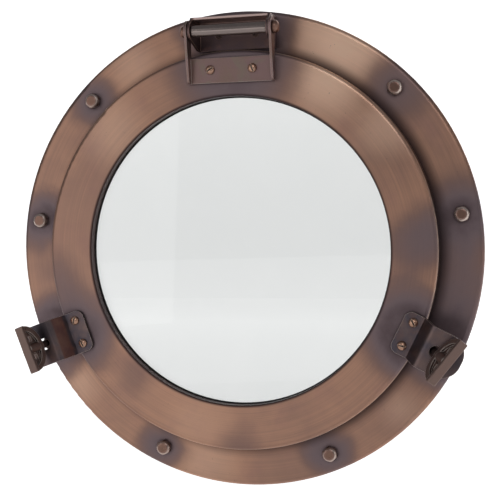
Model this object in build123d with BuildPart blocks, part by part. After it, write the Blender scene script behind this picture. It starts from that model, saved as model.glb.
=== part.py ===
from build123d import *
import os
from math import sin, cos, tan, radians, pi

os.makedirs("parts", exist_ok=True)

# Opening porthole, top hung, held shut by two wing screws.
# +Z up, front (cabin side) faces -Y, back face of the flange lies on y = 0.
# Origin: porthole axis where it meets the wall.  Millimetres.
# "h" below is the height above the flange's front face, towards -Y.

# ------------------------------------------------------------- driving sizes
FLANGE_R = 190.5        # outer radius of the wall flange
FLANGE_T = 8.0          # flange thickness
FRAME_BORE_R = 138.0    # clear opening through the flange
SPIGOT_R_IN = 146.0     # inside of the collar, stepped back from the opening
SPIGOT_R = 150.0        # outside of the collar that lines the wall hole
SPIGOT_L = 25.0         # how far the collar reaches into the wall
REBATE_R = 150.02       # rebate in the back of the flange

BOLT_PCR = 175.8        # radius of the fixing bolts
BOLT_ANGLES = (45.0, 81.3, 156.8)   # each side of top dead centre
BOLT_R = 3.0
BOLT_AF = 11.0
BOLT_HEAD_H = 5.5
BOLT_REACH = 42.0       # length of shank behind the flange

DOOR_R = 157.5          # outer radius of the opening ring
DOOR_TOP = 19.2         # h of the opening ring's face
DOOR_BACK = 0.8         # h of its back face
LIP_R = 121.7           # sight opening
LEDGE_H = 11.0          # h of the ledge the pane is bedded on
POCKET_R = 136.0        # pane pocket
GLASS_R = 135.2
GLASS_T = 4.8
GASKET_T = 1.0
RET_RECESS_R = 141.5
RET_R_OUT = 141.1
RET_R_IN = 130.0
RET_T = 2.8
RET_SCREW_R = 138.6
SEAL_R_IN, SEAL_R_OUT = 145.0, 152.0

PIN_Z = 172.5           # hinge pin above the centre
PIN_H = 24.0            # hinge pin above the flange face
PIN_R = 2.25
TUBE_R = 4.6
SHEET = 1.8             # hinge bracket sheet
FB_HALF = 32.2          # half width of the frame bracket
FB_Z0, FB_Z1 = 159.5, 183.5
FB_WALL_H = 22.0        # top edge of the frame bracket's outer wall
DB_HALF = 34.6          # half width of the door bracket
DB_Z0, DB_Z1 = 132.0, 151.6         # lower and upper edge of the door bracket's plate
HINGE_SCREW_X, HINGE_SCREW_Z = 17.0, 142.4

# dogs: clock angle of the foot, direction the arm points in, lean of the
# wing screw at rest and turn of its head, left then right
DOG_FOOT = (115.8, 115.2)
DOG_DIR = (109.8, 116.6)
DOG_LEAN = (15.0, 29.0)
DOG_TURN = (1.0, 14.0)
ARM_W = 34.0
ARM_T = 2.5
ARM_R0, ARM_R1 = 140.0, 193.0
ARM_TOP = 38.0          # h of the raised arm's upper face
ARM_SCREW_R, ARM_SCREW_T = 148.0, 9.8
PIVOT_R = 172.5         # where the wing screw's axis crosses the arm
SLOT_R, SLOT_L, SLOT_W = 176.4, 17.0, 9.4
BOSS_LEAN = 12.0        # lean of the screw when it stands over its boss
STUD_R = 3.0
PITCH = 1.0
TRAVEL = 1.0            # one turn of the wing screw
BAR_HALF = 19.0
HUB_S = 5.8             # lower end of the hub along the screw axis
RIM_T = 6.6             # thickness of the wing head's rim
BAR_S0, BAR_S1 = 20.8, 23.8
STUD_S = -22.1          # point of the screw
BOSS_R = 5.2
BOSS_S = -22.8          # mouth of the flange boss along the screw axis

N = Vector(0, -1, 0)


def radial(deg):
    return Vector(sin(radians(deg)), 0, cos(radians(deg)))


def at(deg, r, h):
    """Point at clock angle deg, radius r, height h above the flange face."""
    return radial(deg) * r + N * (h + FLANGE_T)


def face_plane(deg, r, h):
    """Plane parallel to the flange face, x outwards along the radius."""
    return Plane(origin=at(deg, r, h), x_dir=radial(deg), z_dir=N)


def radial_plane(deg):
    """Plane through the axis: x is radius, y is h."""
    e = radial(deg)
    return Plane(origin=N * FLANGE_T, x_dir=e, z_dir=e.cross(N))


def xz_plane(h):
    """Plane parallel to the flange face through its axis: x to the right, y up."""
    return Plane(origin=(0, -(h + FLANGE_T), 0), x_dir=(1, 0, 0), z_dir=(0, -1, 0))


def dog_dir(sg):
    return radial(sg * DOG_DIR[(sg + 1) // 2])


def dog_origin(sg, h):
    """Point from which distances along a dog's arm are counted, so that its
    foot screws lie ARM_SCREW_R along the arm."""
    return at(sg * DOG_FOOT[(sg + 1) // 2], ARM_SCREW_R, h) - dog_dir(sg) * ARM_SCREW_R


def dog_plane(sg, h):
    """Plane parallel to the flange face, x along the arm."""
    return Plane(origin=dog_origin(sg, h), x_dir=dog_dir(sg), z_dir=N)


# ------------------------------------------------------------- fasteners
# slotted pan head, axis +Z, seat at z = 0
with BuildPart() as pan_screw:
    with BuildSketch(Plane.XZ) as s:
        with BuildLine() as l:
            Polyline((0, -9.0), (1.4, -9.0), (1.75, -8.6), (1.75, 0), (3.5, 0), (3.5, 0.9))
            ThreePointArc((3.5, 0.9), (2.65, 2.05), (0, 2.7))
            Line((0, 2.7), (0, -9.0))
        make_face()
    revolve(axis=Axis.Z)
    with BuildSketch(Plane.XY.offset(3.0)):
        Rectangle(9.0, 1.0)
    extrude(amount=-1.7, mode=Mode.SUBTRACT)

# countersunk screw, axis +Z, head flush at z = 0
with BuildPart() as csk_screw:
    with BuildSketch(Plane.XZ) as s:
        with BuildLine() as l:
            Polyline((0, -8.5), (1.2, -8.5), (1.5, -8.1), (1.5, -1.3), (2.7, -0.1), (2.7, 0), (0, 0), (0, -8.5))
        make_face()
    revolve(axis=Axis.Z)
    with BuildSketch(Plane.XY):
        Rectangle(7.0, 0.8)
    extrude(amount=-0.8, mode=Mode.SUBTRACT)

# hexagon bolt with a generous turned chamfer, axis +Z, seat at z = 0
with BuildPart() as hex_bolt:
    with BuildSketch(Plane.XY):
        RegularPolygon(radius=BOLT_AF / 2, side_count=6, major_radius=False)
    extrude(amount=BOLT_HEAD_H)
    with BuildSketch(Plane.XZ) as s:
        with BuildLine() as l:
            Polyline((0, 0), (6.1, 0), (6.45, 0.8), (6.45, 1.8))
            ThreePointArc((6.45, 1.8), (5.6, 4.1), (3.9, BOLT_HEAD_H))
            Polyline((3.9, BOLT_HEAD_H), (0, BOLT_HEAD_H), (0, 0))
        make_face()
    revolve(axis=Axis.Z, mode=Mode.INTERSECT)
    with BuildSketch(Plane.XY):
        Circle(BOLT_R)
    extrude(amount=-(FLANGE_T + BOLT_REACH))
    # plain shoulder that fills the hole in the flange
    with BuildSketch(Plane.XY):
        Circle(BOLT_R + 0.15)
    extrude(amount=-FLANGE_T)
    chamfer(hex_bolt.edges().filter_by(GeomType.CIRCLE).sort_by(Axis.Z)[0], 0.6)

# ------------------------------------------------------------- frame casting
with BuildPart() as frame_flange:
    with BuildSketch(Plane.XY) as s:
        with BuildLine() as l:
            Polyline((REBATE_R, 0), (REBATE_R, -2.0), (FRAME_BORE_R, -2.0), (FRAME_BORE_R, -FLANGE_T + 1.0),
                     (FRAME_BORE_R + 1.0, -FLANGE_T),
                     (FLANGE_R - 3.6, -FLANGE_T))
            ThreePointArc((FLANGE_R - 3.6, -FLANGE_T), (FLANGE_R - 1.05, -FLANGE_T + 1.05), (FLANGE_R, -FLANGE_T + 3.6))
            Polyline((FLANGE_R, -FLANGE_T + 3.6), (FLANGE_R, -1.2), (FLANGE_R - 1.2, 0), (REBATE_R, 0))
        make_face()
    revolve(axis=Axis.Y)
    for sg in (-1, 1):
        for ang in BOLT_ANGLES:
            with BuildSketch(face_plane(sg * ang, BOLT_PCR, 0)):
                Circle(BOLT_R + 0.3)
            extrude(amount=-FLANGE_T, mode=Mode.SUBTRACT)
        # blind tapped holes for the hinge bracket screws
        with BuildSketch(Plane(origin=(sg * 15.0, -FLANGE_T, 171.5), x_dir=(1, 0, 0), z_dir=(0, -1, 0))):
            Circle(1.55)
        extrude(amount=-7.0, mode=Mode.SUBTRACT)
frame_flange.part.label = "frame_flange"
export_step(frame_flange.part, "parts/frame_flange.step")

# collar, let into a rebate in the back of the flange, with a relief groove round its foot
with BuildPart() as frame_collar:
    with BuildSketch(Plane.XY):
        with BuildLine():
            Polyline((SPIGOT_R_IN, SPIGOT_L), (SPIGOT_R_IN, -2.0), (SPIGOT_R - 1.5, -2.0), (SPIGOT_R - 1.5, 0), (SPIGOT_R, 0),
                     (SPIGOT_R, SPIGOT_L - 1.0), (SPIGOT_R - 1.0, SPIGOT_L), (SPIGOT_R_IN, SPIGOT_L))
        make_face()
    revolve(axis=Axis.Y)
frame_collar.part.label = "frame_collar"
export_step(frame_collar.part, "parts/frame_collar.step")

with BuildPart() as frame_bolts:
    for sg in (-1, 1):
        for i, ang in enumerate(BOLT_ANGLES):
            turn = (8, 31, 17, 44, 3, 52)[i + (3 if sg > 0 else 0)]
            add(hex_bolt.part.rotate(Axis.Z, turn).moved(face_plane(sg * ang, BOLT_PCR, 0).location))
frame_bolts.part.label = "frame_bolts"
export_step(frame_bolts.part, "parts/frame_bolts.step")

# ------------------------------------------------------------- hinge, frame side
with BuildPart() as hinge_frame_bracket:
    # cheeks
    for sg in (-1, 1):
        x0 = sg * FB_HALF if sg < 0 else FB_HALF - SHEET
        with BuildSketch(Plane.YZ.offset(x0)):
            with BuildLine():
                f = -FLANGE_T
                Polyline((f, FB_Z0), (f, FB_Z1), (f - FB_WALL_H, FB_Z1), (f - FB_WALL_H - 4.5, 178.9))
                ThreePointArc((f - FB_WALL_H - 4.5, 178.9), (f - 31.5, 172.5), (f - FB_WALL_H - 4.5, 166.1))
                Polyline((f - FB_WALL_H - 4.5, 166.1), (f - 7.0, FB_Z0), (f, FB_Z0))
            make_face()
        extrude(amount=SHEET)
    # base on the flange and the upstanding outer wall
    with BuildSketch(Plane.XY.offset(FB_Z0)):
        with Locations((0, -FLANGE_T - SHEET / 2)):
            Rectangle(2 * FB_HALF, SHEET)
    extrude(amount=FB_Z1 - FB_Z0)
    with BuildSketch(Plane.XY.offset(FB_Z1 - SHEET)):
        with Locations((0, -FLANGE_T - FB_WALL_H / 2)):
            Rectangle(2 * FB_HALF, FB_WALL_H)
    extrude(amount=SHEET)
    # pin hole
    with BuildSketch(Plane(origin=(-40, -FLANGE_T - PIN_H, PIN_Z), x_dir=(0, 1, 0), z_dir=(1, 0, 0))):
        Circle(PIN_R + 0.02)
    extrude(amount=80, mode=Mode.SUBTRACT)
    # countersunk screw holes in the base
    for sg in (-1, 1):
        with BuildSketch(Plane(origin=(sg * 15.0, 0, 171.5), x_dir=(1, 0, 0), z_dir=(0, -1, 0))):
            Circle(1.6)
        extrude(amount=14, mode=Mode.SUBTRACT)
        with BuildSketch(Plane(origin=(sg * 15.0, -FLANGE_T - SHEET - 0.01, 171.5), x_dir=(1, 0, 0), z_dir=(0, 1, 0))):
            Circle(2.85)
        extrude(amount=1.4, taper=45, mode=Mode.SUBTRACT)
hinge_frame_bracket.part.label = "hinge_frame_bracket"
export_step(hinge_frame_bracket.part, "parts/hinge_frame_bracket.step")

with BuildPart() as hinge_frame_screws:
    for sg in (-1, 1):
        pl = Plane(origin=(sg * 15.0, -FLANGE_T - SHEET, 171.5), x_dir=(cos(0.5 * sg), 0, sin(0.5 * sg)), z_dir=(0, -1, 0))
        add(csk_screw.part.moved(pl.location))
hinge_frame_screws.part.label = "hinge_frame_screws"
export_step(hinge_frame_screws.part, "parts/hinge_frame_screws.step")

# pin with a domed head at the right hand end
pin_plane = Plane(origin=(0, -FLANGE_T - PIN_H, PIN_Z), x_dir=(0, 1, 0), z_dir=(1, 0, 0))
with BuildPart() as hinge_pin:
    with BuildSketch(pin_plane.offset(-38.2)):
        Circle(PIN_R)
    extrude(amount=38.2 + 36.0)
    with BuildSketch(pin_plane.offset(34.9)):
        Circle(5.0)
    extrude(amount=4.4)
    fillet(hinge_pin.edges().filter_by(GeomType.CIRCLE).filter_by(lambda e: e.radius > 4).sort_by(Axis.X)[-1], 3.2)
    chamfer(hinge_pin.edges().filter_by(GeomType.CIRCLE).sort_by(Axis.X)[0], 0.4)
hinge_pin.part.label = "hinge_pin"
export_step(hinge_pin.part, "parts/hinge_pin.step")

# domed retaining cap pressed on the left hand end of the pin
with BuildPart() as hinge_pin_cap:
    with BuildSketch(pin_plane.offset(-34.9)):
        Circle(4.6)
    extrude(amount=-4.6)
    fillet(hinge_pin_cap.edges().filter_by(GeomType.CIRCLE).sort_by(Axis.X)[0], 2.8)
    with BuildSketch(pin_plane.offset(-34.8)):
        Circle(PIN_R + 0.02)
    extrude(amount=-3.5, mode=Mode.SUBTRACT)
hinge_pin_cap.part.label = "hinge_pin_cap"
export_step(hinge_pin_cap.part, "parts/hinge_pin_cap.step")

with BuildPart() as hinge_tube:
    with BuildSketch(Plane(origin=(-30.1, -FLANGE_T - PIN_H, PIN_Z), x_dir=(0, 1, 0), z_dir=(1, 0, 0))):
        Circle(TUBE_R)
        Circle(PIN_R + 0.05, mode=Mode.SUBTRACT)
    extrude(amount=60.2)
    chamfer(hinge_tube.edges().filter_by(GeomType.CIRCLE).filter_by(lambda e: e.radius > 4), 0.4)
hinge_tube.part.label = "hinge_tube"
export_step(hinge_tube.part, "parts/hinge_tube.step")

# ------------------------------------------------------------- opening ring
with BuildPart() as door_ring:
    with BuildSketch(Plane.XY) as s:
        with BuildLine() as l:
            b = lambda h: -(h + FLANGE_T)
            Polyline((LIP_R, b(LEDGE_H)), (LIP_R, b(DOOR_TOP - 0.8)))
            ThreePointArc((LIP_R, b(DOOR_TOP - 0.8)), (LIP_R + 0.25, b(DOOR_TOP - 0.25)), (LIP_R + 0.8, b(DOOR_TOP)))
            Line((LIP_R + 0.8, b(DOOR_TOP)), (DOOR_R - 3.4, b(DOOR_TOP)))
            ThreePointArc((DOOR_R - 3.4, b(DOOR_TOP)), (DOOR_R - 1.0, b(DOOR_TOP - 1.0)), (DOOR_R, b(DOOR_TOP - 3.4)))
            Polyline((DOOR_R, b(DOOR_TOP - 3.4)), (DOOR_R, b(DOOR_BACK)), (SEAL_R_OUT, b(DOOR_BACK)),
                     (SEAL_R_OUT, b(5.0)), (SEAL_R_IN, b(5.0)), (SEAL_R_IN, b(DOOR_BACK)),
                     (RET_RECESS_R, b(DOOR_BACK)), (RET_RECESS_R, b(LEDGE_H - GASKET_T - GLASS_T)),
                     (POCKET_R, b(LEDGE_H - GASKET_T - GLASS_T)), (POCKET_R, b(LEDGE_H)), (LIP_R, b(LEDGE_H)))
        make_face()
    revolve(axis=Axis.Y)
    # blind tapped holes in the front face
    for sg in (-1, 1):
        with BuildSketch(Plane(origin=(sg * HINGE_SCREW_X, b(DOOR_TOP), HINGE_SCREW_Z), x_dir=(1, 0, 0), z_dir=(0, -1, 0))):
            Circle(1.8)
        extrude(amount=-7.6, mode=Mode.SUBTRACT)
        for t in (-ARM_SCREW_T, ARM_SCREW_T):
            with BuildSketch(dog_plane(sg, DOOR_TOP)):
                with Locations((ARM_SCREW_R, t)):
                    Circle(1.8)
            extrude(amount=-7.0, mode=Mode.SUBTRACT)
    # blind tapped holes for the retaining ring
    for k in range(8):
        with BuildSketch(Plane(origin=at(22.5 + 45 * k, RET_SCREW_R, LEDGE_H - GASKET_T - GLASS_T), x_dir=radial(22.5 + 45 * k), z_dir=N)):
            Circle(1.55)
        extrude(amount=6.6, mode=Mode.SUBTRACT)
door_ring.part.label = "door_ring"
export_step(door_ring.part, "parts/door_ring.step")

G1 = LEDGE_H - GASKET_T            # front of the pane
G0 = G1 - GLASS_T                  # back of the pane

with BuildPart() as glass_gasket:
    with BuildSketch(xz_plane(G1)):
        Circle(POCKET_R - 0.3)
        Circle(LIP_R - 0.9, mode=Mode.SUBTRACT)
    extrude(amount=GASKET_T)
glass_gasket.part.label = "glass_gasket"
export_step(glass_gasket.part, "parts/glass_gasket.step")

with BuildPart() as glass_pane:
    with BuildSketch(xz_plane(G0)):
        Circle(GLASS_R)
    extrude(amount=GLASS_T)
    chamfer(glass_pane.edges().filter_by(GeomType.CIRCLE), 0.5)
glass_pane.part.label = "glass_pane"
export_step(glass_pane.part, "parts/glass_pane.step")

with BuildPart() as retaining_ring:
    with BuildSketch(xz_plane(G0 - RET_T)):
        Circle(RET_R_OUT)
        Circle(RET_R_IN, mode=Mode.SUBTRACT)
    extrude(amount=RET_T)
    for k in range(8):
        a = 22.5 + 45 * k
        with BuildSketch(Plane(origin=at(a, RET_SCREW_R, G0 - RET_T), x_dir=radial(a), z_dir=N)):
            Circle(1.6)
        extrude(amount=RET_T, mode=Mode.SUBTRACT)
        with BuildSketch(Plane(origin=at(a, RET_SCREW_R, G0 - RET_T - 0.01), x_dir=radial(a), z_dir=N)):
            Circle(2.86)
        extrude(amount=1.3, taper=45, mode=Mode.SUBTRACT)
retaining_ring.part.label = "retaining_ring"
export_step(retaining_ring.part, "parts/retaining_ring.step")

with BuildPart() as retaining_screws:
    for k in range(8):
        a = 22.5 + 45 * k
        pl = Plane(origin=at(a, RET_SCREW_R, G0 - RET_T), x_dir=radial(a + 25 * k), z_dir=-N)
        add(csk_screw.part.moved(pl.location))
retaining_screws.part.label = "retaining_screws"
export_step(retaining_screws.part, "parts/retaining_screws.step")

with BuildPart() as door_seal:
    with BuildSketch(Plane.XY):
        with BuildLine():
            Polyline((SEAL_R_IN + 0.1, b(5.0)), (SEAL_R_OUT - 0.1, b(5.0)), (SEAL_R_OUT - 0.1, b(1.4)))
            ThreePointArc((SEAL_R_OUT - 0.1, b(1.4)), (0.5 * (SEAL_R_IN + SEAL_R_OUT), b(0.15)), (SEAL_R_IN + 0.1, b(1.4)))
            Line((SEAL_R_IN + 0.1, b(1.4)), (SEAL_R_IN + 0.1, b(5.0)))
        make_face()
    revolve(axis=Axis.Y)
door_seal.part.label = "door_seal"
export_step(door_seal.part, "parts/door_seal.step")

# ------------------------------------------------------------- hinge, door side
PLATE_H = DOOR_TOP + SHEET
with BuildPart() as hinge_door_bracket:
    with BuildSketch(xz_plane(DOOR_TOP)):
        with Locations((0, (DB_Z0 + DB_Z1) / 2)):
            Rectangle(2 * DB_HALF, DB_Z1 - DB_Z0)
    extrude(amount=SHEET)
    for sg in (-1, 1):
        x0 = -DB_HALF if sg < 0 else DB_HALF - SHEET
        with BuildSketch(Plane.YZ.offset(x0)):
            with BuildLine():
                Polyline((b(DOOR_TOP), DB_Z0), (b(DOOR_TOP), 163.0), (b(PIN_H - 7.0), 167.5))
                ThreePointArc((b(PIN_H - 7.0), 167.5), (b(PIN_H), 181.0), (b(PIN_H + 7.0), 167.5))
                Polyline((b(PIN_H + 7.0), 167.5), (b(DOOR_TOP + 9.5), 150.0), (b(DOOR_TOP + 7.0), DB_Z0 + 3.0))
                ThreePointArc((b(DOOR_TOP + 7.0), DB_Z0 + 3.0), (b(DOOR_TOP + 6.0), DB_Z0 + 0.9), (b(DOOR_TOP + 4.0), DB_Z0))
                Line((b(DOOR_TOP + 4.0), DB_Z0), (b(DOOR_TOP), DB_Z0))
            make_face()
        extrude(amount=SHEET)
    with BuildSketch(Plane(origin=(-40, -FLANGE_T - PIN_H, PIN_Z), x_dir=(0, 1, 0), z_dir=(1, 0, 0))):
        Circle(PIN_R + 0.06)
    extrude(amount=80, mode=Mode.SUBTRACT)
    for sg in (-1, 1):
        with BuildSketch(Plane(origin=(sg * HINGE_SCREW_X, b(DOOR_TOP), HINGE_SCREW_Z), x_dir=(1, 0, 0), z_dir=(0, -1, 0))):
            Circle(2.0)
        extrude(amount=SHEET, mode=Mode.SUBTRACT)
hinge_door_bracket.part.label = "hinge_door_bracket"
export_step(hinge_door_bracket.part, "parts/hinge_door_bracket.step")

with BuildPart() as hinge_door_screws:
    for sg, turn in ((-1, 35), (1, 110)):
        pl = Plane(origin=(sg * HINGE_SCREW_X, b(PLATE_H), HINGE_SCREW_Z), x_dir=(1, 0, 0), z_dir=(0, -1, 0))
        add(pan_screw.part.rotate(Axis.Z, turn).moved(pl.location))
hinge_door_screws.part.label = "hinge_door_screws"
export_step(hinge_door_screws.part, "parts/hinge_door_screws.step")

# ------------------------------------------------------------- dogs
for side, sg in (("left", -1), ("right", 1)):
    er = dog_dir(sg)
    et = N.cross(er)
    lean = radians(DOG_LEAN[(sg + 1) // 2])
    turn = radians(DOG_TURN[(sg + 1) // 2])
    axis = er * sin(lean) + N * cos(lean)
    P = dog_origin(sg, ARM_TOP - ARM_T / 2) + er * PIVOT_R
    xd = et * cos(turn) + et.cross(axis) * (sg * sin(turn))
    ax_plane = Plane(origin=P, x_dir=xd, z_dir=axis)
    side_plane = Plane(origin=P, x_dir=xd, z_dir=xd.cross(axis))
    rp = Plane(origin=dog_origin(sg, 0), x_dir=er, z_dir=er.cross(N))
    pp = dog_plane(sg, 0)

    # cranked arm: foot on the ring, riser, raised tongue, with rounded bends
    with BuildPart() as dog_arm:
        with BuildSketch(rp) as s:
            with BuildLine():
                Polyline((ARM_R0, DOOR_TOP), (156.2, DOOR_TOP), (164.0, ARM_TOP - ARM_T), (ARM_R1, ARM_TOP - ARM_T),
                         (ARM_R1, ARM_TOP), (162.3, ARM_TOP), (154.5, DOOR_TOP + ARM_T), (ARM_R0, DOOR_TOP + ARM_T),
                         (ARM_R0, DOOR_TOP))
            make_face()
            fillet(s.vertices().filter_by(lambda v: abs(v.X - 156.2) < 0.1), 4.0)
            fillet(s.vertices().filter_by(lambda v: abs(v.X - 162.3) < 0.1), 5.0)
            fillet(s.vertices().filter_by(lambda v: abs(v.X - 154.5) < 0.1), 1.5)
            fillet(s.vertices().filter_by(lambda v: abs(v.X - 164.0) < 0.1), 2.5)
        extrude(amount=ARM_W / 2, both=True)
        with BuildSketch(pp):
            with BuildLine():
                w = ARM_W / 2
                k = ARM_R1
                Line((146.0, -w), (k - 12.5, -w))
                ThreePointArc((k - 12.5, -w), (k - 3.9, -w + 5.0), (k, 0))
                ThreePointArc((k, 0), (k - 3.9, w - 5.0), (k - 12.5, w))
                Line((k - 12.5, w), (146.0, w))
                ThreePointArc((146.0, w), (141.76, w - 1.76), (ARM_R0, w - 6.0))
                Line((ARM_R0, w - 6.0), (ARM_R0, -w + 6.0))
                ThreePointArc((ARM_R0, -w + 6.0), (141.76, -w + 1.76), (146.0, -w))
            make_face()
        extrude(amount=60, mode=Mode.INTERSECT)
        # oval hole for the wing screw
        with BuildSketch(pp.offset(ARM_TOP - 6)):
            with Locations((SLOT_R, 0)):
                SlotOverall(SLOT_L, SLOT_W)
        extrude(amount=12, mode=Mode.SUBTRACT)
        for t in (-ARM_SCREW_T, ARM_SCREW_T):
            with BuildSketch(pp.offset(DOOR_TOP)):
                with Locations((ARM_SCREW_R, t)):
                    Circle(2.0)
            extrude(amount=ARM_T, mode=Mode.SUBTRACT)
    dog_arm.part.label = f"dog_arm_{side}"
    export_step(dog_arm.part, f"parts/dog_arm_{side}.step")

    # loose washer under the arm, rocks with the screw
    with BuildPart() as dog_washer:
        with BuildSketch(ax_plane.offset(-5.3)):
            Circle(5.8)
            Circle(STUD_R + 0.1, mode=Mode.SUBTRACT)
        extrude(amount=-1.2)
    dog_washer.part.label = f"dog_washer_{side}"
    export_step(dog_washer.part, f"parts/dog_washer_{side}.step")

    # collar that keeps the screw in the arm
    with BuildPart() as dog_collar:
        with BuildSketch(ax_plane.offset(-6.9)):
            Circle(5.2)
            Circle(STUD_R + 0.05, mode=Mode.SUBTRACT)
        extrude(amount=-2.8)
        chamfer(dog_collar.edges().filter_by(GeomType.CIRCLE).filter_by(lambda e: e.radius > 5), 0.5)
    dog_collar.part.label = f"dog_collar_{side}"
    export_step(dog_collar.part, f"parts/dog_collar_{side}.step")

    # screwed shank
    with BuildPart() as dog_stud:
        with BuildSketch(side_plane):
            with BuildLine():
                Polyline((0, STUD_S), (1.8, STUD_S), (STUD_R, STUD_S + 1.6), (STUD_R, 17.0), (0, 17.0), (0, STUD_S))
            make_face()
        revolve(axis=Axis(P, axis))
    dog_stud.part.label = f"dog_stud_{side}"
    export_step(dog_stud.part, f"parts/dog_stud_{side}.step")

    # half moon wing head: thick rim, thin windowed web, hub and grip bar
    with BuildPart() as wing_head:
        deep = BAR_S0 + 0.5 - HUB_S
        with BuildSketch(side_plane):
            with Locations((0, BAR_S0 + 0.5)):
                Ellipse(BAR_HALF - 0.4, deep)
                Ellipse(BAR_HALF - 4.6, deep - 4.3, mode=Mode.SUBTRACT)
            with Locations((0, BAR_S0 + 0.5 + 15)):
                Rectangle(60, 30, mode=Mode.SUBTRACT)
        extrude(amount=RIM_T / 2, both=True)
        with BuildSketch(side_plane):
            with Locations((0, BAR_S0 + 0.5)):
                Ellipse(BAR_HALF - 4.0, deep - 3.8)
            with Locations((0, BAR_S0 + 0.5 + 15)):
                Rectangle(60, 30, mode=Mode.SUBTRACT)
            for m in (-1, 1):
                with Locations((m * 7.6, BAR_S0 - 3.6)):
                    RectangleRounded(4.4, 5.0, 1.2, mode=Mode.SUBTRACT)
        extrude(amount=1.2, both=True)
        with BuildSketch(ax_plane.offset(BAR_S0)):
            RectangleRounded(2 * BAR_HALF, 7.6, 0.8)
        extrude(amount=BAR_S1 - BAR_S0)
        fillet(wing_head.faces().sort_by(Axis(P, axis))[-1].edges(), 0.7)
        with BuildSketch(ax_plane.offset(HUB_S)):
            Circle(3.6)
        extrude(amount=4.0)
        with BuildSketch(ax_plane.offset(HUB_S + 3.9)):
            Circle(4.2)
        extrude(amount=BAR_S0 - HUB_S - 3.9 + 0.5)
        with BuildSketch(ax_plane.offset(HUB_S - 0.5)):
            Circle(STUD_R + 0.02)
        extrude(amount=17.1 - HUB_S + 0.5, mode=Mode.SUBTRACT)
    wing_head.part.label = f"wing_head_{side}"
    export_step(wing_head.part, f"parts/wing_head_{side}.step")

    # boss on the flange that takes the screw, thread shown as a plain hole
    bl = radians(BOSS_LEAN)
    b_axis = er * sin(bl) + N * cos(bl)
    b_plane = Plane(origin=P, x_dir=et, z_dir=b_axis)
    with BuildPart() as dog_boss:
        with BuildSketch(b_plane.offset(BOSS_S)):
            Circle(BOSS_R)
        extrude(amount=-25)
        with BuildSketch(pp):
            with Locations((165, 0)):
                Rectangle(60, 60)
        extrude(amount=-30, mode=Mode.SUBTRACT)
        with BuildSketch(Plane(origin=P, x_dir=et, z_dir=et.cross(b_axis))):
            with BuildLine():
                Polyline((0, BOSS_S + 1), (4.3, BOSS_S + 1), (4.3, BOSS_S - 0.3), (3.35, BOSS_S - 1.8), (3.35, BOSS_S - 9.5), (0, BOSS_S - 9.5), (0, BOSS_S + 1))
            make_face()
        revolve(axis=Axis(P, b_axis), mode=Mode.SUBTRACT)
    dog_boss.part.label = f"dog_boss_{side}"
    export_step(dog_boss.part, f"parts/dog_boss_{side}.step")

with BuildPart() as dog_arm_screws:
    for sg, turns in ((-1, (60, 95)), (1, (15, 140))):
        for t, turn in zip((-ARM_SCREW_T, ARM_SCREW_T), turns):
            pl = dog_plane(sg, DOOR_TOP + ARM_T)
            pl.origin = pl.from_local_coords((ARM_SCREW_R, t, 0))
            add(pan_screw.part.rotate(Axis.Z, turn).moved(pl.location))
dog_arm_screws.part.label = "dog_arm_screws"
export_step(dog_arm_screws.part, "parts/dog_arm_screws.step")
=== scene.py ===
import bpy, bmesh, math
from mathutils import Vector, Matrix

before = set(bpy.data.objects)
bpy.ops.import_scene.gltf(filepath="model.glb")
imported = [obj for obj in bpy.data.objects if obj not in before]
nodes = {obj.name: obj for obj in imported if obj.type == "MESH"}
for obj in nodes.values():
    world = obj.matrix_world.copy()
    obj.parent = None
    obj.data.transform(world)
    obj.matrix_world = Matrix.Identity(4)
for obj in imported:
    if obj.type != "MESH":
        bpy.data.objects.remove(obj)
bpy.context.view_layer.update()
scene = bpy.context.scene
try:
    scene.view_settings.view_transform = "Standard"
    scene.view_settings.look = "None"
    scene.view_settings.exposure = 0.0
    scene.view_settings.gamma = 1.0
except Exception:
    pass


def lin(r, g, b):
    f = lambda c: (c / 255 / 12.92) if c / 255 <= 0.04045 else ((c / 255 + 0.055) / 1.055) ** 2.4
    return (f(r), f(g), f(b), 1.0)


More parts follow.
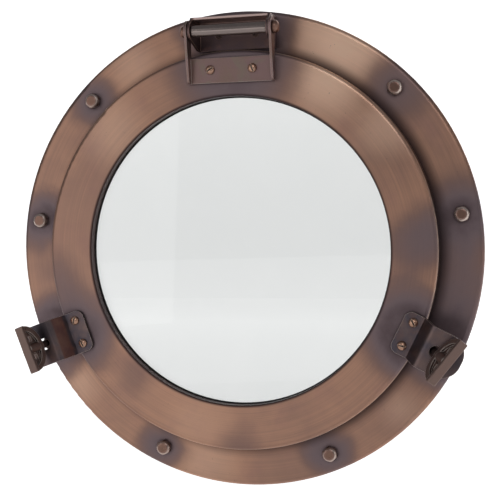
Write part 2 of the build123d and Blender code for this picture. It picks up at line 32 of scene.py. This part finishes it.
# ---------------------------------------------------------------- node helper
class NB:
    def __init__(self, name):
        self.mat = bpy.data.materials.new(name)
        self.mat.use_nodes = True
        self.t = self.mat.node_tree
        self.t.nodes.clear()
        self.out = self.t.nodes.new("ShaderNodeOutputMaterial")
        self.bsdf = self.t.nodes.new("ShaderNodeBsdfPrincipled")
        self.t.links.new(self.bsdf.outputs[0], self.out.inputs[0])
        tc = self.t.nodes.new("ShaderNodeTexCoord")
        self.P = tc.outputs["Object"]
        sp = self.t.nodes.new("ShaderNodeSeparateXYZ")
        self.link(self.P, sp.inputs[0])
        self.x, self.y, self.z = sp.outputs
        self.r = self.m("SQRT", self.m("ADD", self.m("MULTIPLY", self.x, self.x), self.m("MULTIPLY", self.z, self.z)))
        self.h = self.m("SUBTRACT", self.m("MULTIPLY", self.y, -1.0), 0.008)

    def link(self, a, b):
        self.t.links.new(a, b)

    def put(self, sock, v):
        if hasattr(v, "is_linked") or isinstance(v, bpy.types.NodeSocket):
            self.link(v, sock)
        else:
            sock.default_value = v

    def m(self, op, a, b=None, c=None, clamp=False):
        n = self.t.nodes.new("ShaderNodeMath")
        n.operation = op
        n.use_clamp = clamp
        self.put(n.inputs[0], a)
        if b is not None:
            self.put(n.inputs[1], b)
        if c is not None:
            self.put(n.inputs[2], c)
        return n.outputs[0]

    def v(self, op, a, b=None, out=0):
        n = self.t.nodes.new("ShaderNodeVectorMath")
        n.operation = op
        self.put(n.inputs[0], a)
        if b is not None:
            self.put(n.inputs[1], b)
        return n.outputs[out]

    def xyz(self, x, y, z):
        n = self.t.nodes.new("ShaderNodeCombineXYZ")
        for s, q in zip(n.inputs, (x, y, z)):
            self.put(s, q)
        return n.outputs[0]

    def noise(self, vec, scale, detail=3.0, rough=0.55, dist=0.0):
        n = self.t.nodes.new("ShaderNodeTexNoise")
        self.put(n.inputs["Vector"], vec)
        n.inputs["Scale"].default_value = scale
        n.inputs["Detail"].default_value = detail
        n.inputs["Roughness"].default_value = rough
        n.inputs["Distortion"].default_value = dist
        return n.outputs[0]

    def voronoi(self, vec, scale, feature="F1"):
        n = self.t.nodes.new("ShaderNodeTexVoronoi")
        n.feature = feature
        self.put(n.inputs["Vector"], vec)
        n.inputs["Scale"].default_value = scale
        return n.outputs[0]

    def rng(self, v, a, b, c=0.0, d=1.0, smooth=True):
        n = self.t.nodes.new("ShaderNodeMapRange")
        n.interpolation_type = "SMOOTHSTEP" if smooth else "LINEAR"
        self.put(n.inputs["Value"], v)
        n.inputs["From Min"].default_value = a
        n.inputs["From Max"].default_value = b
        n.inputs["To Min"].default_value = c
        n.inputs["To Max"].default_value = d
        return n.outputs[0]

    def mix(self, f, a, b, mode="MIX"):
        n = self.t.nodes.new("ShaderNodeMix")
        n.data_type = "RGBA"
        n.blend_type = mode
        self.put(n.inputs[0], f)
        self.put(n.inputs[6], a)
        self.put(n.inputs[7], b)
        return n.outputs[2]

    def scale_col(self, col, k):
        n = self.t.nodes.new("ShaderNodeVectorMath")
        n.operation = "SCALE"
        self.put(n.inputs[0], col)
        self.put(n.inputs["Scale"], k)
        return n.outputs[0]

    def bump(self, height, strength, distance, normal=None):
        n = self.t.nodes.new("ShaderNodeBump")
        n.inputs["Strength"].default_value = strength
        n.inputs["Distance"].default_value = distance
        self.put(n.inputs["Height"], height)
        if normal is not None:
            self.link(normal, n.inputs["Normal"])
        return n.outputs[0]

    def edges(self, radius=0.0008):
        """0 on flats, towards 1 on convex and concave edges."""
        b = self.t.nodes.new("ShaderNodeBevel")
        b.samples = 6
        b.inputs["Radius"].default_value = radius
        self.soft = b.outputs[0]
        g = self.t.nodes.new("ShaderNodeNewGeometry")
        d = self.v("DOT_PRODUCT", b.outputs[0], g.outputs["Normal"], out=1)
        return self.rng(self.m("SUBTRACT", 1.0, d), 0.01, 0.22)

    def crevice(self, distance=0.004):
        """0 in the open, towards 1 in corners and slots."""
        a = self.t.nodes.new("ShaderNodeAmbientOcclusion")
        a.samples = 6
        a.inputs["Distance"].default_value = distance
        return self.rng(a.outputs["AO"], 0.35, 0.92, 1.0, 0.0)

    def set(self, **kw):
        for k, q in kw.items():
            self.put(self.bsdf.inputs[k.replace("_", " ")], q)


COPPER_HI = lin(196, 151, 127)
COPPER = lin(168, 132, 116)
COPPER_LOW = lin(146, 115, 104)
BROWN = lin(143, 115, 107)
PURPLE = lin(130, 114, 118)
DEEP = lin(104, 88, 91)


def clock(deg, r):
    return (math.sin(math.radians(deg)) * r, math.cos(math.radians(deg)) * r)


BOLTS = [clock(a, 0.1758) for a in (-45.0, 45.0, -81.3, 81.3, -156.8, 156.8)]
DOG_L, DOG_R = clock(-113.5, 0.166), clock(115.5, 0.166)


def halos(nb, feats, wobble=0.016):
    """Largest of several soft blotches with ragged edges."""
    q = nb.xyz(nb.x, 0.0, nb.z)
    nz = nb.m("MULTIPLY", nb.m("SUBTRACT", nb.noise(nb.P, 26.0, 4.0, 0.6, 0.6), 0.5), wobble)
    nz2 = nb.m("MULTIPLY", nb.m("SUBTRACT", nb.noise(nb.P, 7.0, 2.0), 0.5), wobble * 2.4)
    nz = nb.m("ADD", nz, nz2)
    keep = None
    for (x, z, r0, r1, w) in feats:
        d = nb.m("ADD", nb.v("DISTANCE", q, (x, 0.0, z), out=1), nz)
        k = nb.m("SUBTRACT", 1.0, nb.rng(d, r0, r1, w, 0.0))
        keep = k if keep is None else nb.m("MULTIPLY", keep, k)
    return nb.m("SUBTRACT", 1.0, keep, clamp=True)


def patina(name, feats, brush=1.0, low=0.0, recess_shade=None, edge_wear_glint=0.35, rough=0.34, tint=None, extra=None, corner_shade=0.55, painted_highlight=None, edge=(0.0009, (232, 190, 166))):
    """Heat coloured antique copper: rubbed copper, brown, and dark purple grey blotches round the fittings, with
    painted highlights, painted shade in corners and recesses, and lightened edges.
    """
    nb = NB(name)
    cloud = nb.noise(nb.P, 11.0, 4.0, 0.6, 0.4)
    cloud2 = nb.noise(nb.P, 38.0, 4.0, 0.6)
    broad = nb.noise(nb.P, 4.5, 2.0, 0.5, 0.3)
    # turning marks: fine rings about the porthole's axis, broken up along their length
    ring = nb.noise(nb.xyz(nb.m("MULTIPLY", nb.x, 9.0), nb.m("MULTIPLY", nb.r, 700.0), nb.m("MULTIPLY", nb.z, 9.0)), 1.0, 3.0, 0.6)
    ring2 = nb.noise(nb.xyz(nb.m("MULTIPLY", nb.x, 26.0), nb.m("MULTIPLY", nb.r, 2200.0), nb.m("MULTIPLY", nb.z, 26.0)), 1.0, 2.0, 0.5)
    dark = halos(nb, feats) if feats else None
    k = nb.rng(nb.m("ADD", nb.m("MULTIPLY", nb.m("ADD", cloud, broad), 0.5), nb.m("MULTIPLY", nb.m("SUBTRACT", ring, 0.5), 0.22)), 0.36, 0.62)
    col = nb.mix(k, COPPER_LOW if low > 0.5 else COPPER, COPPER_HI if low < 0.5 else COPPER)
    col = nb.mix(nb.rng(cloud2, 0.45, 0.78, 0.0, 0.35), col, lin(166, 126, 120))
    # painted highlights: bright fans where the turned metal catches the light
    if painted_highlight:
        col = nb.mix(halos(nb, painted_highlight, 0.010), col, lin(255, 212, 184))
    # brown rim round each dark blotch, then the blotch itself
    if dark is not None:
        col = nb.mix(nb.rng(dark, 0.02, 0.50, 0.0, 0.85), col, BROWN)
        col = nb.mix(nb.rng(dark, 0.25, 0.90, 0.0, 0.92), col, PURPLE)
        col = nb.mix(nb.m("MULTIPLY", nb.rng(dark, 0.75, 1.0), nb.rng(cloud2, 0.30, 0.62, 0.25, 0.9)), col, DEEP)
    if tint is not None:
        col = nb.mix(tint[0], col, tint[1])
    if extra is not None:
        col = extra(nb, col, cloud, cloud2)
    if recess_shade is not None:
        # painted shade in the recesses, mixed towards dark brown
        col = nb.mix(recess_shade(nb), col, lin(62, 48, 50))
    shade = nb.m("ADD", 0.92, nb.m("MULTIPLY", ring, 0.11 * brush))
    shade = nb.m("ADD", shade, nb.m("MULTIPLY", ring2, 0.07 * brush))
    col = nb.scale_col(col, shade)
    # small dark specks of old oxide
    sp = nb.rng(nb.noise(nb.P, 420.0, 2.0, 0.7), 0.70, 0.80, 0.0, 0.45)
    col = nb.mix(sp, col, DEEP)
    cr = e = None
    # edges lightened towards the edge colour: worn copper and painted highlight glints
    if edge_wear_glint > 0:
        e = nb.m("MULTIPLY", nb.edges(edge[0]), nb.rng(cloud2, 0.3, 0.6, 0.45, 1.0))
        col = nb.mix(nb.m("MULTIPLY", e, edge_wear_glint), col, lin(*edge[1]))
    if corner_shade > 0:
        # painted shade in the corners and slots from ambient occlusion, together with old wax and oxide
        cr = nb.m("MULTIPLY", nb.crevice(), corner_shade)
        if e is not None:
            cr = nb.m("MULTIPLY", cr, nb.rng(e, 0.0, 0.6, 1.0, 0.35))
        col = nb.mix(cr, col, lin(46, 38, 40))
    nb.set(Base_Color=col)
    ro = nb.m("ADD", rough, nb.m("MULTIPLY", nb.m("SUBTRACT", ring, 0.5), 0.14))
    metal = 0.92 if dark is None else nb.rng(dark, 0.2, 1.0, 0.95, 0.80)
    if e is None:
        nb.set(Metallic=metal)
    else:
        # lightened edges, partly worn copper and partly painted highlight glints, scatter more light than the waxed
        # flats
        nb.set(Metallic=nb.m("MULTIPLY", metal, nb.rng(e, 0.0, 1.0, 1.0, 1.0 - 0.55 * min(1.0, edge_wear_glint))))
    if dark is not None:
        ro = nb.m("ADD", ro, nb.m("MULTIPLY", dark, 0.08))
    ro = nb.m("ADD", ro, nb.m("MULTIPLY", nb.m("SUBTRACT", cloud2, 0.5), 0.12))
    nb.set(Roughness=ro)
    n = nb.bump(ring, 0.08 * brush, 0.00012, nb.soft if edge_wear_glint > 0 else None)
    n = nb.bump(ring2, 0.08 * brush, 0.00006, n)
    n = nb.bump(cloud2, 0.10, 0.0005, n)
    n = nb.bump(cloud, 0.08, 0.0030, n)
    nb.set(Normal=n)
    return nb


def blot(deg, r, r0, r1, w):
    x, z = clock(deg, r)
    return (x, z, r0, r1, w)


flange_feats = [
    blot(-45.0, 0.175, 0.002, 0.032, 0.90), blot(45.0, 0.176, 0.004, 0.042, 0.66), blot(-81.3, 0.176, 0.002, 0.036, 1.0),
    blot(81.3, 0.176, 0.006, 0.050, 1.0), blot(-156.8, 0.176, 0.001, 0.036, 0.95), blot(156.8, 0.176, 0.002, 0.032, 0.85),
    blot(-113.5, 0.174, 0.014, 0.050, 1.0), blot(115.0, 0.174, 0.016, 0.056, 1.0), blot(0.0, 0.182, 0.030, 0.066, 0.80),
    blot(98.0, 0.178, 0.002, 0.060, 0.65), blot(-96.0, 0.170, 0.002, 0.040, 0.35),
]
ring_feats = [
    blot(0.0, 0.154, 0.022, 0.078, 0.85), blot(-115.8, 0.150, 0.012, 0.052, 0.95), blot(115.2, 0.150, 0.014, 0.056, 1.0),
    blot(84.0, 0.158, 0.002, 0.040, 0.55), blot(-98.0, 0.156, 0.002, 0.040, 0.45), blot(180.0, 0.160, 0.001, 0.030, 0.35),
    blot(-138.0, 0.130, 0.002, 0.036, 0.35), blot(88.0, 0.138, 0.004, 0.044, 0.55),
]

# painted highlights: bright spots on the flange and ring where the turned metal catches the light
flange_highlight_spots = [
    blot(28.0, 0.180, 0.008, 0.050, 1.0), blot(18.0, 0.180, 0.002, 0.034, 0.5), blot(-168.0, 0.176, 0.002, 0.040, 0.30), blot(-30.0, 0.176, 0.002, 0.030, 0.30),
    blot(-128.0, 0.180, 0.002, 0.030, 0.30), blot(135.0, 0.176, 0.002, 0.026, 0.25),
]
ring_highlight_spots = [
    blot(30.0, 0.154, 0.004, 0.044, 1.0), blot(52.0, 0.152, 0.002, 0.034, 0.45), blot(-165.0, 0.142, 0.002, 0.040, 0.15), blot(-45.0, 0.142, 0.002, 0.040, 0.30),
]


def arm_colour(nb, col, cloud, cloud2):
    # steel grey to purple blotches on the flats, rubbed red brown riser, painted lighter as lit on the left arm and
    # darker as shade on the right arm
    col = nb.mix(nb.rng(cloud2, 0.38, 0.62), col, lin(92, 86, 94))
    col = nb.mix(nb.rng(nb.noise(nb.P, 75.0, 3.0, 0.6, 0.8), 0.52, 0.72, 0.0, 0.6), col, lin(124, 98, 92))
    tip = nb.m("MULTIPLY", halos(nb, [blot(-111.0, 0.178, 0.010, 0.024, 0.9), blot(115.8, 0.184, 0.004, 0.020, 0.55)], 0.006), nb.rng(nb.h, 0.033, 0.036))
    col = nb.mix(tip, col, lin(72, 68, 74))
    up = nb.m("MULTIPLY", nb.rng(nb.h, 0.0240, 0.0270), nb.rng(nb.h, 0.0345, 0.0368, 1.0, 0.0))
    up = nb.m("MULTIPLY", up, nb.rng(nb.r, 0.1655, 0.1670, 1.0, 0.0))
    riser_shade_side = nb.rng(nb.x, -0.02, 0.02, 0.0, 1.0)
    riser = nb.mix(nb.rng(nb.noise(nb.P, 60.0, 3.0, 0.6), 0.4, 0.65), lin(158, 116, 104), lin(136, 98, 92))
    # painted shade: the right arm's riser is darker, the left arm's riser keeps the lighter lit colour
    riser = nb.mix(riser_shade_side, riser, lin(92, 80, 82))
    return nb.mix(nb.m("MULTIPLY", up, 0.85), col, riser)


def bracket_colour(nb, col, cloud, cloud2):
    # painted light: the inner face of the hinge bracket's upstanding outer wall, which faces down into shade, is
    # coloured pale
    wall = nb.m("MULTIPLY", nb.rng(nb.z, 0.1800, 0.1830), nb.rng(nb.x, -0.031, -0.0285, 0.0, 1.0))
    col = nb.mix(nb.m("MULTIPLY", wall, nb.rng(nb.x, 0.0285, 0.031, 1.0, 0.0)), col, lin(196, 164, 154))
    col = nb.mix(nb.rng(cloud2, 0.36, 0.60, 0.0, 0.6), col, lin(108, 92, 98))
    col = nb.mix(nb.rng(nb.noise(nb.P, 60.0, 3.0, 0.6, 0.8), 0.50, 0.72, 0.0, 0.7), col, lin(146, 112, 104))
    return nb.mix(nb.m("MULTIPLY", nb.m("MULTIPLY", wall, nb.rng(nb.x, 0.0285, 0.031, 1.0, 0.0)), 0.85), col, lin(252, 222, 214))


def ring_edge_highlight(nb, col, cloud, cloud2):
    # painted highlight: bright line along the ring's outer edge
    k = nb.m("MULTIPLY", nb.rng(nb.r, 0.1564, 0.1574), nb.rng(nb.h, 0.0140, 0.0165))
    return nb.mix(nb.m("MULTIPLY", k, nb.rng(cloud, 0.35, 0.6, 0.30, 0.85)), col, lin(250, 222, 200))


def plate_colour(nb, col, cloud, cloud2):
    # heat colours, rose to green grey
    col = nb.mix(nb.rng(cloud2, 0.36, 0.62, 0.0, 0.6), col, lin(158, 128, 130))
    return nb.mix(nb.rng(nb.noise(nb.P, 55.0, 3.0, 0.6, 0.8), 0.50, 0.70, 0.0, 0.6), col, lin(150, 140, 122))


# painted shadow with dark patina on the flange round the foot of the door ring
m_flange = patina("copper_flange", flange_feats, brush=1.0,
                  recess_shade=lambda nb: nb.m("MULTIPLY", nb.rng(nb.r, 0.1575, 0.1680, 0.80, 0.0), nb.rng(nb.h, -0.004, -0.0005)), edge_wear_glint=0.45, rough=0.40, painted_highlight=flange_highlight_spots)
# painted shade on the ring's lower outer wall and on the inner wall of its lip
m_ring = patina("copper_ring", ring_feats, brush=1.1,
                recess_shade=lambda nb: nb.m("MAXIMUM", nb.rng(nb.h, 0.0140, 0.0172, 0.8, 0.0), nb.rng(nb.r, 0.1222, 0.1242, 0.92, 0.0)), edge_wear_glint=0.8, rough=0.40, painted_highlight=ring_highlight_spots, extra=ring_edge_highlight, edge=(0.0009, (250, 226, 208)))
def bolt_rim_highlight(nb, col, cloud, cloud2):
    # painted highlight round the crown of each bolt head, dark brown middle
    q = nb.xyz(nb.x, 0.0, nb.z)
    d = None
    for (x, z) in BOLTS:
        k = nb.v("DISTANCE", q, (x, 0.0, z), out=1)
        d = k if d is None else nb.m("MINIMUM", d, k)
    col = nb.mix(nb.rng(d, 0.0020, 0.0040, 0.55, 0.0), col, lin(134, 104, 88))
    k = nb.m("MULTIPLY", nb.rng(d, 0.0040, 0.0047), nb.rng(d, 0.0054, 0.0060, 1.0, 0.0))
    return nb.mix(nb.m("MULTIPLY", k, nb.rng(cloud2, 0.35, 0.60, 0.45, 0.95)), col, lin(255, 236, 224))


m_bolt = patina("copper_bolt", [], brush=0.4, low=0.8, edge_wear_glint=1.0, rough=0.30, tint=(0.6, lin(146, 112, 102)), corner_shade=0.6, extra=bolt_rim_highlight,
                edge=(0.0016, (255, 238, 226)))
m_bracket = patina("copper_bracket", [], brush=0.3, low=1.0, edge_wear_glint=0.8, rough=0.40, tint=(0.75, lin(110, 92, 92)), extra=bracket_colour, corner_shade=0.25)
m_door_plate = patina("copper_door_plate", [], brush=0.3, low=1.0, edge_wear_glint=0.95, rough=0.40, tint=(0.75, lin(158, 132, 124)), extra=plate_colour, corner_shade=0.35,
                      edge=(0.0009, (226, 210, 202)))
m_arm = patina("copper_arm", [], brush=0.3, low=1.0, edge_wear_glint=0.9, rough=0.38, tint=(0.75, lin(112, 98, 98)), extra=arm_colour, corner_shade=0.75,
               edge=(0.0008, (244, 224, 212)))
m_wing = patina("copper_wing", [], brush=0.2, low=1.0, edge_wear_glint=0.95, rough=0.38, tint=(0.70, lin(136, 118, 112)), corner_shade=0.85,
                edge=(0.0009, (240, 224, 214)))
m_screw = patina("copper_screw", [], brush=0.2, low=0.0, edge_wear_glint=0.9, rough=0.26, tint=(0.45, lin(238, 192, 162)), corner_shade=1.0,
                 edge=(0.0006, (255, 234, 214)))
# painted shade: the hinge frame screws under the tube and the dog washers, collars and studs under the arms sit in
# shade and are coloured dark
m_shaded_dark = patina("shaded_dark_copper", [], brush=0.2, low=1.0, edge_wear_glint=0.2, rough=0.45, tint=(0.85, lin(84, 70, 68)), corner_shade=0.9)
m_pin = patina("copper_pin", [], brush=0.2, low=1.0, edge_wear_glint=0.5, rough=0.34, tint=(0.5, lin(158, 122, 106)), corner_shade=0.8)
m_tube = patina("copper_tube", [], brush=0.2, low=1.0, edge_wear_glint=0.3, rough=0.20, tint=(0.75, lin(170, 160, 156)), corner_shade=0.5)


def rubber():
    nb = NB("black_rubber_seal")
    n1 = nb.noise(nb.P, 700.0, 3.0)
    nb.set(Base_Color=nb.mix(nb.noise(nb.P, 60.0, 3.0), (0.012, 0.011, 0.011, 1), (0.035, 0.032, 0.031, 1)))
    nb.set(Roughness=nb.rng(n1, 0.3, 0.7, 0.55, 0.8, False))
    nb.set(Normal=nb.bump(n1, 0.3, 0.0002))
    return nb


def glass():
    nb = NB("window_glass")
    nb.bsdf.inputs["Transmission Weight"].default_value = 1.0
    nb.bsdf.inputs["IOR"].default_value = 1.46
    smear = nb.noise(nb.P, 9.0, 3.0, 0.6, 1.2)
    nb.set(Base_Color=nb.mix(smear, lin(205, 207, 206), lin(209, 210, 209)))
    nb.set(Roughness=nb.rng(nb.noise(nb.P, 22.0, 4.0, 0.65, 0.8), 0.55, 0.85, 0.0, 0.05))
    nb.set(Normal=nb.bump(smear, 0.02, 0.0006))
    return nb


m_rubber = rubber()
m_glass = glass()

USE = {
    "frame_flange": m_flange, "frame_collar": m_flange, "frame_bolts": m_bolt, "hinge_frame_bracket": m_bracket, "hinge_frame_screws": m_shaded_dark,
    "hinge_pin": m_pin, "hinge_pin_cap": m_pin, "hinge_tube": m_tube, "dog_boss_left": m_bracket, "dog_boss_right": m_bracket,
    "door_ring": m_ring, "glass_gasket": m_rubber, "glass_pane": m_glass, "retaining_ring": m_flange, "retaining_screws": m_screw,
    "door_seal": m_rubber, "hinge_door_bracket": m_door_plate, "hinge_door_screws": m_screw,
    "dog_arm_left": m_arm, "dog_arm_right": m_arm, "dog_arm_screws": m_screw,
    "dog_washer_left": m_shaded_dark, "dog_washer_right": m_shaded_dark, "dog_collar_left": m_shaded_dark, "dog_collar_right": m_shaded_dark,
    "dog_stud_left": m_shaded_dark, "dog_stud_right": m_shaded_dark, "wing_head_left": m_wing, "wing_head_right": m_wing,
}
for name, nb in USE.items():
    o = nodes[name]
    o.data.materials.clear()
    o.data.materials.append(nb.mat)
missing = set(nodes) - set(USE)
assert not missing, missing

# ---------------------------------------------------------------- stage
def cove():
    me = bpy.data.meshes.new("studio_cove")
    bm = bmesh.new()
    prof = [(-3.2, -0.34)]
    for i in range(13):
        a = math.radians(-90 + 90 * i / 12)
        prof.append((2.4 + 0.8 * math.cos(a), 0.46 + 0.8 * math.sin(a)))
    prof.append((3.2, 3.4))
    rows = []
    for x in (-4.0, 4.0):
        rows.append([bm.verts.new((x, y, z)) for y, z in prof])
    for i in range(len(prof) - 1):
        bm.faces.new((rows[0][i], rows[1][i], rows[1][i + 1], rows[0][i + 1]))
    bm.normal_update()
    bm.to_mesh(me)
    for p in me.polygons:
        p.use_smooth = True
    o = bpy.data.objects.new("studio_cove", me)
    scene.collection.objects.link(o)
    mat = bpy.data.materials.new("pale_paper")
    mat.use_nodes = True
    b = mat.node_tree.nodes["Principled BSDF"]
    b.inputs["Base Color"].default_value = (0.80, 0.80, 0.80, 1)
    b.inputs["Roughness"].default_value = 0.95
    b.inputs["Specular IOR Level"].default_value = 0.1
    b.inputs["Emission Color"].default_value = (1, 1, 1, 1)
    # the paper glows behind the object and falls off towards the camera
    tc = mat.node_tree.nodes.new("ShaderNodeTexCoord")
    sp = mat.node_tree.nodes.new("ShaderNodeSeparateXYZ")
    mr = mat.node_tree.nodes.new("ShaderNodeMapRange")
    mr.interpolation_type = "SMOOTHSTEP"
    mr.inputs["From Min"].default_value = -0.25
    mr.inputs["From Max"].default_value = 0.45
    mr.inputs["To Min"].default_value = 0.22
    mr.inputs["To Max"].default_value = 0.86
    mat.node_tree.links.new(tc.outputs["Object"], sp.inputs[0])
    mat.node_tree.links.new(sp.outputs[1], mr.inputs["Value"])
    mat.node_tree.links.new(mr.outputs[0], b.inputs["Emission Strength"])
    me.materials.append(mat)


cove()

w = bpy.data.worlds.new("studio")
scene.world = w
w.use_nodes = True
w.node_tree.nodes["Background"].inputs[0].default_value = (0.93, 0.95, 1.0, 1)
w.node_tree.nodes["Background"].inputs[1].default_value = 0.16


def area(name, loc, target, size, power, size_y=None, color=(1, 1, 1)):
    l = bpy.data.lights.new(name, "AREA")
    l.shape = "RECTANGLE"
    l.size = size
    l.size_y = size_y or size
    l.energy = power
    l.color = color
    o = bpy.data.objects.new(name, l)
    o.location = loc
    o.rotation_euler = (Vector(target) - Vector(loc)).to_track_quat("-Z", "Y").to_euler()
    scene.collection.objects.link(o)
    return o


area("softbox_left", (-1.45, -1.75, 0.35), (0, 0, 0), 1.7, 5.6, 1.7)
area("softbox_top", (0.50, -1.5, 0.85), (0, 0, 0.02), 0.9, 3.3, 0.6)
area("strip_right", (1.7, -0.6, 0.3), (0, 0, 0), 0.3, 1.4, 1.2)
area("low_fill", (-0.5, -1.3, -0.28), (0, 0, -0.05), 1.2, 0.8, 0.4)

# ---------------------------------------------------------------- camera
R = 0.1905
AZ, EL, DIST = math.radians(14.62), math.radians(2.848), 4.5 * R
back = Vector((math.sin(AZ) * math.cos(EL), -math.cos(AZ) * math.cos(EL), math.sin(EL)))
tgt = Vector((0.0357 * R, -0.008, 0.01105 * R))
pos = tgt + back * DIST
cd = bpy.data.cameras.new("camera")
cd.sensor_width = 36.0
cd.lens = 1071.16 / 500.0 * 36.0
cd.clip_start = 0.01
cd.clip_end = 30
cam = bpy.data.objects.new("camera", cd)
scene.collection.objects.link(cam)
fwd = -back
right = Vector((math.cos(AZ), math.sin(AZ), 0.0))
up = right.cross(fwd)
rot = Matrix((right, up, -fwd)).transposed().to_4x4()
cam.matrix_world = Matrix.Rotation(math.radians(1.15), 4, "Y") @ (Matrix.Translation(pos) @ rot)
scene.camera = cam
